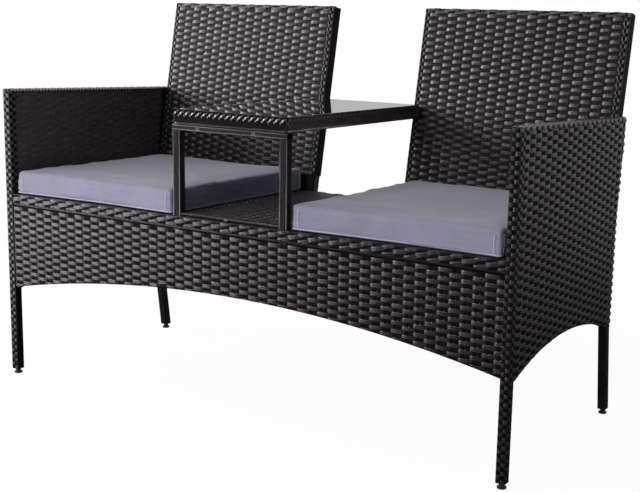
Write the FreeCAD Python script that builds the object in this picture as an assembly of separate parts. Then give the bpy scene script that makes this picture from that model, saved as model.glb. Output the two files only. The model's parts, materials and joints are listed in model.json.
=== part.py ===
import FreeCAD, Part
import math
import os

# A two-seat companion bench in flat wicker: two reclined backrests, two arms,
# and a glass-topped table between the seats. All sizes are in millimetres.
# While it is modelled, Y starts at the front faces of the front legs.
# The origin moves to the middle of the footprint when the pieces are saved.
# Left and right are as seen from in front of the bench.

V = FreeCAD.Vector

# Overall sizes
overall_length = 1240.0
arm_height_front = 646.0
arm_height_rear = 634.0
back_height = 843.0
leg_bottom_height = 11.0

# Frame tubes and woven skins
tube = 18.0
tube_wall = 1.2
leg_wrap = 0.8
weave = 2.0
side_weave_skin = 1.8
arm_binding = 1.6

# Rear legs: the foot rakes back, the upper end leans with the backrest
rear_tube_depth = 20.0
rear_leg_front = 482.0
rear_foot_set_back = 27.0
rear_lean_rise = 14.0
rear_lean = 0.105
rear_tube_corner = 2.0

# Arched rails and panels
arch_tube = 16.0
side_arch_end = 198.0
side_arch_peak = 240.0
apron_arch_end = 204.0
apron_arch_peak = 266.0

# Seat frame
front_rail_height = 24.0
rail_wrap = 1.0
rail_set_in = 1.5
rail_top_height = 416.0
deck_step = 0.5
rear_rail_back = 480.0

# Backrests
back_lean_deg = 10.8
back_foot_y = 472.6
back_foot_drop = 36.0
back_gap = 244.8
back_weave_rise = 36.0
post_width = 20.0
post_depth = 25.0

# Table
table_width = 280.0
table_set_in = 2.0
table_height = 631.0
rim_height = 30.0
table_bar_height = 12.0
table_post_depth = 18.0
glass_thickness = 5.0
glass_gap = 0.6
pad_radius = 5.0
pad_height = 1.5
shelf_lip_height = 6.0

# Cushions
cushion_thickness = 48.0
cushion_crown = 6.0
cushion_draw_in = 5.0
cushion_arm_gap = 12.0
cushion_post_gap = 10.0
cushion_front = 4.0
cushion_back_gap = 1.0
soft_gap = 0.3

# Levelling glides under the legs
pad_foot_radius = 9.0
pad_foot_edge = 3.5
pad_foot_chamfer = 1.0
pad_shoulder = 2.5
pad_boss_radius = 5.5
pad_boss_top = 8.0
pad_socket_floor = 3.0
stud_radius = 4.0
stud_length = 24.0
stud_fit = 0.05
insert_height = 14.0
insert_fit = 0.1

# Bolts
bolt_radius = 3.0
bolt_head_radius = 5.5
bolt_head_height = 4.0
bolt_hole_fit = 0.15
back_bolt_length = 40.0
side_bolt_length = 30.0
side_bolt_inset = 60.0
drill_past = 1.0

# Places that follow from the sizes above
half = overall_length / 2.0
leg_size = tube + 2.0 * leg_wrap
leg_inside = half - leg_size
rail_back = rail_set_in + tube + 2.0 * rail_wrap
rail_bottom_height = rail_top_height - front_rail_height - 2.0 * rail_wrap
deck_top = rail_top_height - deck_step
frame_top = deck_top - weave
frame_bottom = frame_top - tube
rear_rail_front = rear_rail_back - tube
arm_stock_height = max(arm_height_front, arm_height_rear)
arm_slope = (arm_height_rear - arm_height_front) / (rear_leg_front + rear_tube_depth)
side_tube_width = leg_size - 2.0 * side_weave_skin
side_tube_in = leg_inside + side_weave_skin
side_tube_out = half - side_weave_skin
rear_leg_out = side_tube_out
rear_lean_start = rail_top_height + rear_lean_rise
rear_leg_in = rear_leg_out - tube
back_outer = rear_leg_in
back_inner = back_gap / 2.0
lean = math.radians(back_lean_deg)
back_foot_z = rail_top_height - back_foot_drop
back_weave_bottom = rail_top_height + back_weave_rise
back_length = (back_height - back_foot_z) / math.cos(lean)
back_thickness = post_depth + 2.0 * weave
weave_start = (back_weave_bottom - back_foot_z) / math.cos(lean)
table_half = table_width / 2.0
rim_bottom = table_height - rim_height
table_bar_bottom = rim_bottom - table_bar_height
post_inside = table_half - tube
table_rail_top = table_height - glass_thickness - pad_height
table_back = back_foot_y + (rim_bottom - back_foot_z) * math.tan(lean)
overall_depth = back_foot_y + back_length * math.sin(lean) + back_thickness * math.cos(lean)

parts = {}


def block(x0, x1, y0, y1, z0, z1):
    return Part.makeBox(x1 - x0, y1 - y0, z1 - z0, V(x0, y0, z0))


def tube_along_x(x0, x1, y0, y1, z0, z1):
    bore = block(x0, x1, y0 + tube_wall, y1 - tube_wall, z0 + tube_wall, z1 - tube_wall)
    return block(x0, x1, y0, y1, z0, z1).cut(bore)


def tube_along_y(x0, x1, y0, y1, z0, z1):
    bore = block(x0 + tube_wall, x1 - tube_wall, y0, y1, z0 + tube_wall, z1 - tube_wall)
    return block(x0, x1, y0, y1, z0, z1).cut(bore)


def tube_along_z(x0, x1, y0, y1, z0, z1):
    bore = block(x0 + tube_wall, x1 - tube_wall, y0 + tube_wall, y1 - tube_wall, z0, z1)
    return block(x0, x1, y0, y1, z0, z1).cut(bore)


def side_profile(points, x0, x1):
    """A flat outline in the side view, given as (y, z) points, made solid from x0 to x1."""
    corners = [V(x0, y, z) for y, z in points]
    outline = Part.makePolygon(corners + corners[:1])
    return Part.Face(outline).extrude(V(x1 - x0, 0, 0))


def arch_edges(place, start, end, end_height, peak_height, rise):
    """The two arcs of an arched band, and the lines that close its ends."""
    middle = (start + end) / 2.0
    low = Part.Arc(place(start, end_height), place(middle, peak_height), place(end, end_height))
    lifted = end_height + rise
    high = Part.Arc(place(end, lifted), place(middle, peak_height + rise), place(start, lifted))
    right = Part.LineSegment(place(end, end_height), place(end, lifted))
    left = Part.LineSegment(place(start, lifted), place(start, end_height))
    return [low.toShape(), right.toShape(), high.toShape(), left.toShape()]


def arch_panel(place, start, end, end_height, peak_height, top_points):
    """A panel with an arched lower edge and straight edges through top_points, from end to start."""
    middle = (start + end) / 2.0
    low = Part.Arc(place(start, end_height), place(middle, peak_height), place(end, end_height))
    corners = [place(end, end_height)] + [place(a, z) for a, z in top_points]
    corners.append(place(start, end_height))
    sides = Part.makePolygon(corners)
    return Part.Face(Part.Wire([low.toShape()] + sides.Edges))


def arched_tube(place, direction, width, start, end, end_height, peak_height, height):
    """A square tube bent to an arch. It runs from start to end and is width deep along direction."""
    outer = Part.Face(Part.Wire(arch_edges(place, start, end, end_height, peak_height, height)))
    low = end_height + tube_wall
    peak = peak_height + tube_wall
    inner = Part.Face(Part.Wire(arch_edges(place, start, end, low, peak, height - 2.0 * tube_wall)))
    bore = inner.extrude(direction * (width - 2.0 * tube_wall))
    bore.translate(direction * tube_wall)
    return outer.extrude(direction * width).cut(bore)


def mirrored(shape):
    return shape.mirror(V(0, 0, 0), V(1, 0, 0))


def both_sides(name, shape):
    """The right-hand piece as given, and its mirror image on the left."""
    parts["right_" + name] = shape
    parts["left_" + name] = mirrored(shape)


def group(name, shapes):
    parts[name] = Part.makeCompound(shapes)


def arm_top(y):
    return arm_height_front + arm_slope * y


# Side frames
def above_arm(drop):
    """Everything above the sloping arm, less drop: used to trim what stands under it."""
    y0 = -tube
    y1 = rear_leg_front + rear_tube_depth * 4.0
    ceiling = arm_stock_height * 1.5
    outline = [(y0, arm_top(y0) - drop), (y1, arm_top(y1) - drop), (y1, ceiling), (y0, ceiling)]
    return side_profile(outline, leg_inside - tube, half + tube)


def rear_leg_outline(inset, end_cut):
    """The rear leg from the side. inset thins it for its bore, and end_cut runs it past its ends."""
    lean_height = arm_stock_height - rear_lean_start
    front = rear_leg_front + inset
    back = rear_leg_front + rear_tube_depth - inset
    foot_slope = rear_foot_set_back / (side_arch_end - leg_bottom_height)
    foot = rear_foot_set_back + foot_slope * end_cut
    foot_z = leg_bottom_height - end_cut
    top = rear_lean * lean_height
    return [
        (front + foot, foot_z),
        (back + foot, foot_z),
        (back, side_arch_end),
        (back, rear_lean_start),
        (back + top, arm_stock_height),
        (front + top, arm_stock_height),
        (front, rear_lean_start),
        (front, side_arch_end),
    ]


def rear_leg_solid():
    leg = side_profile(rear_leg_outline(0.0, 0.0), rear_leg_in, rear_leg_out)
    long_edges = []
    for edge in leg.Edges:
        along = edge.tangentAt(edge.FirstParameter)
        if abs(along.x) < 0.5 and abs(along.z) > 0.5:
            long_edges.append(edge)
    return leg.makeFillet(rear_tube_corner, long_edges)


def side_place(x):
    return lambda y, z: V(x, y, z)


def make_side_frame():
    trim = above_arm(arm_binding)
    outer_leg = half - leg_wrap
    front_leg = tube_along_z(outer_leg - tube, outer_leg, leg_wrap, leg_wrap + tube,
                             leg_bottom_height, arm_stock_height)
    both_sides("front_leg", front_leg.cut(trim))

    sleeve = block(leg_inside, half, 0, leg_size, leg_bottom_height, arm_stock_height)
    core = block(outer_leg - tube, outer_leg, leg_wrap, leg_wrap + tube, leg_bottom_height, arm_stock_height)
    wrap = sleeve.cut(core).cut(trim)
    group("front_leg_wraps", [wrap, mirrored(wrap)])

    leg = rear_leg_solid()
    bore_outline = rear_leg_outline(tube_wall, tube_wall)
    bore = side_profile(bore_outline, rear_leg_in + tube_wall, rear_leg_out - tube_wall)
    both_sides("rear_leg", leg.cut(bore).cut(trim))

    rail_start = leg_size
    rail_end = rear_leg_front + rear_tube_depth
    arm_outline = [
        (rail_start, arm_top(rail_start) - arm_binding - tube),
        (rail_end, arm_top(rail_end) - arm_binding - tube),
        (rail_end, arm_top(rail_end) - arm_binding),
        (rail_start, arm_top(rail_start) - arm_binding),
    ]
    arm_bore = [
        (rail_start, arm_outline[0][1] + tube_wall),
        (rail_end, arm_outline[1][1] + tube_wall),
        (rail_end, arm_outline[2][1] - tube_wall),
        (rail_start, arm_outline[3][1] - tube_wall),
    ]
    arm_rail = side_profile(arm_outline, side_tube_in, side_tube_out)
    arm_rail = arm_rail.cut(side_profile(arm_bore, side_tube_in + tube_wall, side_tube_out - tube_wall))
    both_sides("arm_rail", arm_rail.cut(leg))

    bearer = tube_along_y(side_tube_in, side_tube_out, leg_size, rear_leg_front, frame_bottom, frame_top)
    both_sides("side_seat_bearer", bearer.cut(side_bolt_holes()))

    arch = arched_tube(side_place(side_tube_in), V(1, 0, 0), side_tube_width, leg_size, rear_leg_front,
                       side_arch_end, side_arch_peak, arch_tube)
    both_sides("side_arch_rail", arch)

    back_edge = rear_leg_front + rear_tube_depth
    lean_end = back_edge + rear_lean * (arm_stock_height - rear_lean_start)
    top_points = [
        (back_edge, side_arch_end),
        (back_edge, rear_lean_start),
        (lean_end, arm_stock_height),
        (leg_size, arm_stock_height),
    ]
    panel = arch_panel(side_place(side_tube_out), leg_size, rear_leg_front, side_arch_end,
                       side_arch_peak, top_points)
    both_sides("side_weave", panel.extrude(V(side_weave_skin, 0, 0)).cut(trim))

    inner_outline = [
        (leg_size, frame_bottom),
        (rear_leg_front, frame_bottom),
        (rear_leg_front, rear_lean_start),
        (lean_end - rear_tube_depth, arm_stock_height),
        (leg_size, arm_stock_height),
    ]
    inner = side_profile(inner_outline, leg_inside, side_tube_in)
    both_sides("arm_inner_weave", inner.cut(trim).cut(side_bolt_holes()))

    binding_outline = [
        (0.0, arm_top(0.0) - arm_binding),
        (lean_end, arm_top(lean_end) - arm_binding),
        (lean_end, arm_top(lean_end)),
        (0.0, arm_top(0.0)),
    ]
    binding = side_profile(binding_outline, leg_inside, half)
    group("arm_top_bindings", [binding, mirrored(binding)])


# Bolts that join the seat frame to the side frames
def side_bolt_spots():
    return [rail_back + side_bolt_inset, rear_rail_front - side_bolt_inset]


def side_bolt(radius, length, y):
    height = (frame_bottom + frame_top) / 2.0
    return Part.makeCylinder(radius, length, V(leg_inside - tube, y, height), V(1, 0, 0))


def side_bolt_holes():
    radius = bolt_radius + bolt_hole_fit
    return Part.makeCompound([side_bolt(radius, side_bolt_length + drill_past, y) for y in side_bolt_spots()])


def side_bolts():
    bolts = []
    for y in side_bolt_spots():
        height = (frame_bottom + frame_top) / 2.0
        start = V(leg_inside - tube - bolt_head_height, y, height)
        head = Part.makeCylinder(bolt_head_radius, bolt_head_height, start, V(1, 0, 0))
        bolts.append(side_bolt(bolt_radius, side_bolt_length, y).fuse(head).removeSplitter())
    return bolts


# Seat frame, apron and decks
def apron_place(y):
    return lambda x, z: V(x, y, z)


def make_seat():
    wrap_front = rail_set_in
    rail_front = rail_set_in + rail_wrap
    rail_bottom = rail_bottom_height + rail_wrap
    rail_top = rail_top_height - rail_wrap
    parts["seat_front_rail"] = tube_along_x(-leg_inside, leg_inside, rail_front, rail_front + tube,
                                            rail_bottom, rail_top)
    sleeve = block(-leg_inside, leg_inside, wrap_front, rail_back, rail_bottom_height, rail_top_height)
    core = block(-leg_inside, leg_inside, rail_front, rail_front + tube, rail_bottom, rail_top)
    parts["front_rail_wrap"] = sleeve.cut(core)

    rear_rail = tube_along_x(-leg_inside, leg_inside, rear_rail_front, rear_rail_back,
                             frame_bottom, frame_top)
    parts["seat_rear_rail"] = rear_rail.cut(back_bolt_holes()).cut(mirrored(back_bolt_holes()))

    side_rail = tube_along_y(leg_inside - tube, leg_inside, rail_back, rear_rail_front,
                             frame_bottom, frame_top)
    side_rail = side_rail.cut(side_bolt_holes())
    group("seat_side_rails", [side_rail, mirrored(side_rail)])

    cross_bar = tube_along_y(post_inside, table_half, rail_back, rear_rail_front, frame_bottom, frame_top)
    group("seat_cross_bars", [cross_bar, mirrored(cross_bar)])

    sheet_front = rail_set_in
    sheet_back = sheet_front + weave
    top_points = [(leg_inside, rail_bottom_height), (-leg_inside, rail_bottom_height)]
    apron = arch_panel(apron_place(sheet_front), -leg_inside, leg_inside, apron_arch_end,
                       apron_arch_peak, top_points)
    parts["apron_weave"] = apron.extrude(V(0, weave, 0))
    arch = arched_tube(apron_place(sheet_back), V(0, 1, 0), arch_tube, -leg_inside, leg_inside,
                       apron_arch_end, apron_arch_peak, arch_tube)
    parts["apron_arch_rail"] = arch

    arch_band = arch_edges(apron_place(sheet_back), -leg_inside, leg_inside, apron_arch_end,
                           apron_arch_peak, arch_tube)
    arch_solid = Part.Face(Part.Wire(arch_band)).extrude(V(0, arch_tube, 0))
    strut_middle = (post_inside + table_half) / 2.0
    strut = tube_along_z(strut_middle - arch_tube / 2.0, strut_middle + arch_tube / 2.0, sheet_back,
                         sheet_back + arch_tube, apron_arch_peak - arch_tube, rail_bottom_height)
    below = block(0, leg_inside, 0, rail_back, 0, apron_arch_end)
    strut = strut.cut(arch_solid).cut(below)
    strut = max(strut.Solids, key=lambda solid: solid.BoundBox.ZMax)
    group("apron_struts", [strut, mirrored(strut)])

    deck_edge = strut_middle
    both_sides("seat_deck", block(deck_edge, leg_inside, rail_back, rear_rail_back, frame_top, deck_top))
    parts["table_shelf_weave"] = block(-deck_edge, deck_edge, rail_back, rear_rail_back, frame_top, deck_top)


# Backrests, modelled upright and then leaned back about their lower front edge
def leaned(shape):
    placed = shape.copy()
    placed.rotate(V(0, 0, 0), V(1, 0, 0), -back_lean_deg)
    placed.translate(V(0, back_foot_y, back_foot_z))
    return placed


def back_post_edges():
    """The inner and outer posts across the bench: the low and high X of each."""
    inner = (back_inner + weave, back_inner + weave + post_width)
    outer = (back_outer - weave - post_width, back_outer - weave)
    return inner, outer


def back_bolt_spots():
    """Where bolts cross a post: its middle across the bench, and the height up the backrest."""
    inner, outer = back_post_edges()
    seat_height = ((frame_bottom + frame_top) / 2.0 - back_foot_z) / math.cos(lean)
    table_bolt_height = ((rim_bottom + table_rail_top) / 2.0 - back_foot_z) / math.cos(lean)
    inner_middle = sum(inner) / 2.0
    outer_middle = sum(outer) / 2.0
    rear_of_tube = weave + post_depth
    return [
        (inner_middle, seat_height, rear_of_tube),
        (outer_middle, seat_height, rear_of_tube),
        (inner_middle, table_bolt_height, back_thickness),
    ]


def back_bolt_holes():
    holes = []
    radius = bolt_radius + bolt_hole_fit
    for x, height, rear in back_bolt_spots():
        start = V(x, rear - back_bolt_length - drill_past, height)
        hole = Part.makeCylinder(radius, back_bolt_length + 2.0 * drill_past, start, V(0, 1, 0))
        holes.append(leaned(hole))
    return Part.makeCompound(holes)


def back_bolts():
    bolts = []
    for x, height, rear in back_bolt_spots():
        start = V(x, rear - back_bolt_length, height)
        shank = Part.makeCylinder(bolt_radius, back_bolt_length, start, V(0, 1, 0))
        head = Part.makeCylinder(bolt_head_radius, bolt_head_height, V(x, rear, height), V(0, 1, 0))
        bolts.append(leaned(shank.fuse(head).removeSplitter()))
    return bolts


def make_backs():
    holes = back_bolt_holes()
    inner, outer = back_post_edges()
    front = weave
    rear = weave + post_depth
    top = back_length - weave
    below_seat = block(0, half, 0, overall_depth, 0, frame_bottom)
    rail_notch = block(0, half, rear_rail_front, rear_rail_back, 0, deck_top)
    solid_tubes = []
    for name, edges in (("back_inner_post", inner), ("back_outer_post", outer)):
        post = leaned(tube_along_z(edges[0], edges[1], front, rear, 0, top))
        both_sides(name, post.cut(below_seat).cut(rail_notch).cut(holes))
        solid_tubes.append(block(edges[0], edges[1], front, rear, 0, top))

    rail_low = weave_start + weave
    for name, low in (("back_top_rail", top - post_width), ("back_bottom_rail", rail_low)):
        rail = tube_along_x(inner[1], outer[0], front, rear, low, low + post_width)
        both_sides(name, leaned(rail))
        solid_tubes.append(block(inner[1], outer[0], front, rear, low, low + post_width))

    sheet = block(back_inner, back_outer, 0, weave, weave_start, back_length)
    both_sides("back_weave", leaned(sheet).cut(holes))

    ring = block(back_inner, back_outer, weave, back_thickness, weave_start, back_length)
    window_low = rail_low + post_width + weave
    window_top = top - post_width - weave
    window = block(inner[1] + weave, outer[0] - weave, 0, back_thickness, window_low, window_top)
    ring = ring.cut(window)
    for solid in solid_tubes:
        ring = ring.cut(solid)
    binding = leaned(ring).cut(holes)
    group("back_bindings", [binding, mirrored(binding)])


# Table between the seats
def make_table():
    front = table_set_in
    both_sides("table_post", tube_along_z(post_inside, table_half, front, front + table_post_depth,
                                          rail_top_height, table_bar_bottom))
    parts["table_front_bar"] = tube_along_x(-table_half, table_half, front, front + table_post_depth,
                                            table_bar_bottom, rim_bottom)
    parts["shelf_front_lip"] = block(-post_inside, post_inside, front, front + table_post_depth,
                                     rail_top_height, rail_top_height + shelf_lip_height)

    rail_out = table_half - weave
    rail_front = front + weave
    rear_front = table_back - tube
    parts["table_front_rail"] = tube_along_x(-rail_out, rail_out, rail_front, rail_front + tube,
                                             rim_bottom, table_rail_top)
    rear_rail = tube_along_x(-rail_out, rail_out, rear_front, table_back, rim_bottom, table_rail_top)
    parts["table_rear_rail"] = rear_rail.cut(back_bolt_holes()).cut(mirrored(back_bolt_holes()))
    side_rail = tube_along_y(rail_out - tube, rail_out, rail_front + tube, rear_front,
                             rim_bottom, table_rail_top)
    group("table_side_rails", [side_rail, mirrored(side_rail)])

    rim = block(-table_half, table_half, front, table_back, rim_bottom, table_height)
    inside = block(-rail_out, rail_out, rail_front, table_back, rim_bottom, table_height)
    parts["table_rim_weave"] = rim.cut(inside)

    glass_out = rail_out - glass_gap
    glass_bottom = table_height - glass_thickness
    parts["table_glass"] = block(-glass_out, glass_out, rail_front + glass_gap, table_back - glass_gap,
                                 glass_bottom, table_height)

    pads = []
    for x in (-rail_out + tube / 2.0, rail_out - tube / 2.0):
        for y in (rail_front + tube / 2.0, table_back - tube / 2.0):
            pads.append(Part.makeCylinder(pad_radius, pad_height, V(x, y, table_rail_top)))
    group("glass_pads", pads)


# Seat cushions
def cushion_outline(x0, x1, y0, y1, inset, height):
    """A four-sided outline whose sides draw in between the corners."""
    a = x0 + inset
    b = x1 - inset
    c = y0 + inset
    d = y1 - inset
    bow = cushion_draw_in
    mid_x = (a + b) / 2.0
    mid_y = (c + d) / 2.0
    arcs = [
        Part.Arc(V(a, c, height), V(mid_x, c + bow, height), V(b, c, height)),
        Part.Arc(V(b, c, height), V(b - bow, mid_y, height), V(b, d, height)),
        Part.Arc(V(b, d, height), V(mid_x, d - bow, height), V(a, d, height)),
        Part.Arc(V(a, d, height), V(a + bow, mid_y, height), V(a, c, height)),
    ]
    return Part.Wire([arc.toShape() for arc in arcs])


def make_cushions():
    x0 = table_half + cushion_post_gap
    x1 = leg_inside - cushion_arm_gap
    y0 = cushion_front
    y1 = rear_rail_back - cushion_back_gap
    bottom = rail_top_height + soft_gap
    # Each row: how far the outline is drawn in, and its height as a share of the edge thickness
    edge_rows = [(7.0, 0.0), (1.5, 0.12), (0.0, 0.5), (1.5, 0.85), (7.0, 1.0)]
    sections = []
    for inset, share in edge_rows:
        sections.append(cushion_outline(x0, x1, y0, y1, inset, bottom + share * cushion_thickness))
    crown_rows = [(40.0, 0.55), (100.0, 0.92), (150.0, 1.0)]
    for inset, share in crown_rows:
        height = bottom + cushion_thickness + share * cushion_crown
        sections.append(cushion_outline(x0, x1, y0, y1, inset, height))
    both_sides("cushion", Part.makeLoft(sections, True, True))


# Levelling glides: a plug in each leg, a threaded stud and a pad
def leg_foot_centres():
    front = (half - leg_wrap - tube / 2.0, leg_wrap + tube / 2.0)
    rear = (rear_leg_in + tube / 2.0, rear_leg_front + rear_foot_set_back + rear_tube_depth / 2.0)
    return {"front": front, "rear": rear}


def glide_pad(x, y):
    points = [
        V(0, 0, 0),
        V(pad_foot_radius - pad_foot_chamfer, 0, 0),
        V(pad_foot_radius, 0, pad_foot_chamfer),
        V(pad_foot_radius, 0, pad_foot_edge),
        V(pad_boss_radius, 0, pad_foot_edge + pad_shoulder),
        V(pad_boss_radius, 0, pad_boss_top),
        V(0, 0, pad_boss_top),
    ]
    outline = Part.Face(Part.makePolygon(points + points[:1]))
    body = outline.revolve(V(0, 0, 0), V(0, 0, 1), 360)
    socket = Part.makeCylinder(stud_radius + stud_fit, pad_boss_top, V(0, 0, pad_socket_floor))
    pad = body.cut(socket)
    pad.translate(V(x, y, 0))
    return pad


def make_glides():
    inserts = []
    top = leg_bottom_height + insert_height
    inset = tube_wall + insert_fit
    for corner, (x, y) in leg_foot_centres().items():
        both_sides(corner + "_glide_pad", glide_pad(x, y))
        stud = Part.makeCylinder(stud_radius, stud_length, V(x, y, pad_socket_floor + stud_fit))
        both_sides(corner + "_glide_stud", stud)
        bore = Part.makeCylinder(stud_radius + stud_fit, top, V(x, y, 0))
        if corner == "front":
            reach = tube / 2.0 - inset
            plug = block(x - reach, x + reach, y - reach, y + reach, leg_bottom_height, top)
        else:
            leg_slice = block(0, half, 0, overall_depth, leg_bottom_height, top)
            plug = side_profile(rear_leg_outline(inset, inset), rear_leg_in + inset, rear_leg_out - inset)
            plug = plug.common(leg_slice)
        plug = plug.cut(bore)
        inserts += [plug, mirrored(plug)]
    group("leg_inserts", inserts)


def make_bolts():
    bolts = side_bolts() + back_bolts()
    group("frame_bolts", bolts + [mirrored(bolt) for bolt in bolts])


def save_parts():
    os.makedirs("parts", exist_ok=True)
    for name, shape in parts.items():
        shape.translate(V(0, -overall_depth / 2.0, 0))
        shape.exportStep("parts/" + name + ".step")
        box = shape.BoundBox
        print(name, len(shape.Solids), shape.isValid(), round(shape.Volume),
              [round(value, 1) for value in (box.XMin, box.YMin, box.ZMin, box.XMax, box.YMax, box.ZMax)])


make_side_frame()
make_seat()
make_backs()
make_table()
make_cushions()
make_glides()
make_bolts()
save_parts()
print("nodes", len(parts), "overall depth", round(overall_depth, 2))
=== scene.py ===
import bpy
import bmesh
import json
import math
import numpy as np
from mathutils import Matrix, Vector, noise
from mathutils.bvhtree import BVHTree


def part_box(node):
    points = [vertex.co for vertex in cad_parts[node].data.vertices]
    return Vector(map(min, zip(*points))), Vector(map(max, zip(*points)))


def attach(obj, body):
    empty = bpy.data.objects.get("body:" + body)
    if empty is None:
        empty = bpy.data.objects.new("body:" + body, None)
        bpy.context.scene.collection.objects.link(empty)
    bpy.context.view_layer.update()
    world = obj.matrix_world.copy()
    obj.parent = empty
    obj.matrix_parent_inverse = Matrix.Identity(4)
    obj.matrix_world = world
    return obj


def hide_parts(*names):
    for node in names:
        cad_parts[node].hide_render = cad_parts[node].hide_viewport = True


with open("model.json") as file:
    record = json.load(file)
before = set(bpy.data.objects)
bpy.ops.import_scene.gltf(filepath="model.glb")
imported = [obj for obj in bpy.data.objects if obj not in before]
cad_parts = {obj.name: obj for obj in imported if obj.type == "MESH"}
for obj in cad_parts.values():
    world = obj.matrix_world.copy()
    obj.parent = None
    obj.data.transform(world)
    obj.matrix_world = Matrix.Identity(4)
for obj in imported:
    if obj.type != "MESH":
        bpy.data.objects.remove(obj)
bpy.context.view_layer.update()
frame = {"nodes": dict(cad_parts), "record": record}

bench = 'bench_frame'

# Woven work is laid out in millimetres, in the frame of the model: u along a surface,
# v up or across it and h out of it.


def boxMm(node):
    low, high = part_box(node)
    return np.array(low) * 1000.0, np.array(high) * 1000.0


frontY = boxMm('front_leg_wraps')[0][1]
sides = {'right': 1.0, 'left': -1.0}


# A socket that takes part in sums
class Wire:
    def __init__(self, shop, socket):
        self.shop = shop
        self.socket = socket

    def sum(self, operation, other=None, swap=False):
        pair = [self] if other is None else [self, other]
        if swap:
            pair.reverse()
        return self.shop.node('ShaderNodeMath', {'operation': operation}, dict(enumerate(pair)))

    def __add__(self, other):
        return self.sum('ADD', other)

    __radd__ = __add__

    def __sub__(self, other):
        return self.sum('SUBTRACT', other)

    def __rsub__(self, other):
        return self.sum('SUBTRACT', other, swap=True)

    def __mul__(self, other):
        return self.sum('MULTIPLY', other)

    __rmul__ = __mul__


# One material, or the world, and its nodes
class Shop:
    def __init__(self, name, store=bpy.data.materials):
        self.owner = store.new(name)
        self.owner.use_nodes = True
        self.tree = self.owner.node_tree
        self.tree.nodes.clear()

    def node(self, kind, settings=None, values=None, out=0):
        made = self.tree.nodes.new(kind)
        for key, value in (settings or {}).items():
            if key == 'stops':
                self.setStops(made.color_ramp, value)
            else:
                setattr(made, key, value)
        for key, value in (values or {}).items():
            if isinstance(value, Wire):
                self.tree.links.new(value.socket, made.inputs[key])
            else:
                made.inputs[key].default_value = value
        return Wire(self, made.outputs[out]) if len(made.outputs) else made

    def setStops(self, ramp, stops):
        while len(ramp.elements) > 1:
            ramp.elements.remove(ramp.elements[-1])
        for index, (place, colour) in enumerate(stops):
            stop = ramp.elements[0] if index == 0 else ramp.elements.new(place)
            stop.position = place
            stop.color = (*colour, 1.0)

    def ramp(self, factor, stops):
        return self.node('ShaderNodeValToRGB', {'stops': stops}, {0: factor})

    def noise(self, where, scale, detail=2.0):
        return self.node('ShaderNodeTexNoise', {}, {'Vector': where, 'Scale': scale, 'Detail': detail})

    def stretched(self, where, scale):
        values = {0: where, 1: scale}
        return self.node('ShaderNodeVectorMath', {'operation': 'MULTIPLY'}, values)

    def mixed(self, factor, first, second, blend='MIX'):
        settings = {'data_type': 'RGBA', 'blend_type': blend}
        return self.node('ShaderNodeMix', settings, {0: factor, 6: first, 7: second}, out=2)

    def between(self, value, low, high, toLow, toHigh):
        values = {0: value, 1: low, 2: high, 3: toLow, 4: toHigh}
        return self.node('ShaderNodeMapRange', {}, values)

    def bump(self, height, strength, distance, normal=None):
        values = {'Height': height, 'Strength': strength, 'Distance': distance}
        if normal is not None:
            values['Normal'] = normal
        return self.node('ShaderNodeBump', {}, values)

    def finish(self, values):
        shader = self.node('ShaderNodeBsdfPrincipled', {}, values)
        self.node('ShaderNodeOutputMaterial', {}, {'Surface': shader})
        return self.owner

    def output(self, wire, index):
        return Wire(self, wire.socket.node.outputs[index])


def rgb(*values):
    return (*values, 1.0)


# Flat wicker strands: grain is (mm along the strand, mm across it, a number of its own)
strandLooks = {
    'wickerStrand': {
        'dark': (0.006, 0.0050, 0.0056), 'mid': (0.013, 0.0108, 0.0118), 'pale': (0.034, 0.029, 0.032),
        'roughLow': 0.24, 'roughHigh': 0.38, 'specular': 0.9, 'groove': 0.45, 'coat': 0.0},
    # a darker, duller copy of the strand: painted shade for recessed stakes, gaps and hollows
    'wickerStake': {
        'dark': (0.0018, 0.0015, 0.0017), 'mid': (0.0035, 0.0028, 0.0032), 'pale': (0.008, 0.0068, 0.0075),
        'roughLow': 0.5, 'roughHigh': 0.7, 'specular': 0.06, 'groove': 0.4, 'coat': 0.0},
    # a paler, coated copy of the strand: painted highlight on beads, the arm rope and edge strands; the coat
    # itself is real gloss
    'wickerBead': {
        'dark': (0.012, 0.010, 0.011), 'mid': (0.03, 0.026, 0.028), 'pale': (0.09, 0.08, 0.086),
        'roughLow': 0.2, 'roughHigh': 0.3, 'specular': 1.0, 'groove': 0.3, 'coat': 1.0},
    # a darker copy of the strand for the backs' stakes and the dim strips of the table bars: painted shade
    'wickerShade': {
        'dark': (0.005, 0.0042, 0.0046), 'mid': (0.0092, 0.0078, 0.0085), 'pale': (0.018, 0.0156, 0.0168),
        'roughLow': 0.45, 'roughHigh': 0.6, 'specular': 0.16, 'groove': 0.4, 'coat': 0.0},
    # a paler, duller copy of the strand that lifts shaded places, the arm linings, decks, inner leg faces and
    # the rim's sides: painted light
    'wickerLining': {
        'dark': (0.020, 0.0175, 0.0178), 'mid': (0.048, 0.0425, 0.0430), 'pale': (0.075, 0.066, 0.067),
        'roughLow': 0.4, 'roughHigh': 0.55, 'specular': 0.4, 'groove': 0.4, 'coat': 0.0},
}
# The number of each finish on a woven mesh, in the order above. Only the first is the strand's own colour;
# the others are darker or paler copies of it that paint shade, highlight or light.
strandMark, stakeMark, paintedHighlightMark, paintedShadeMark, paintedLightMark = range(len(strandLooks))
sheenTint = (1.0, 0.90, 0.96)


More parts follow.
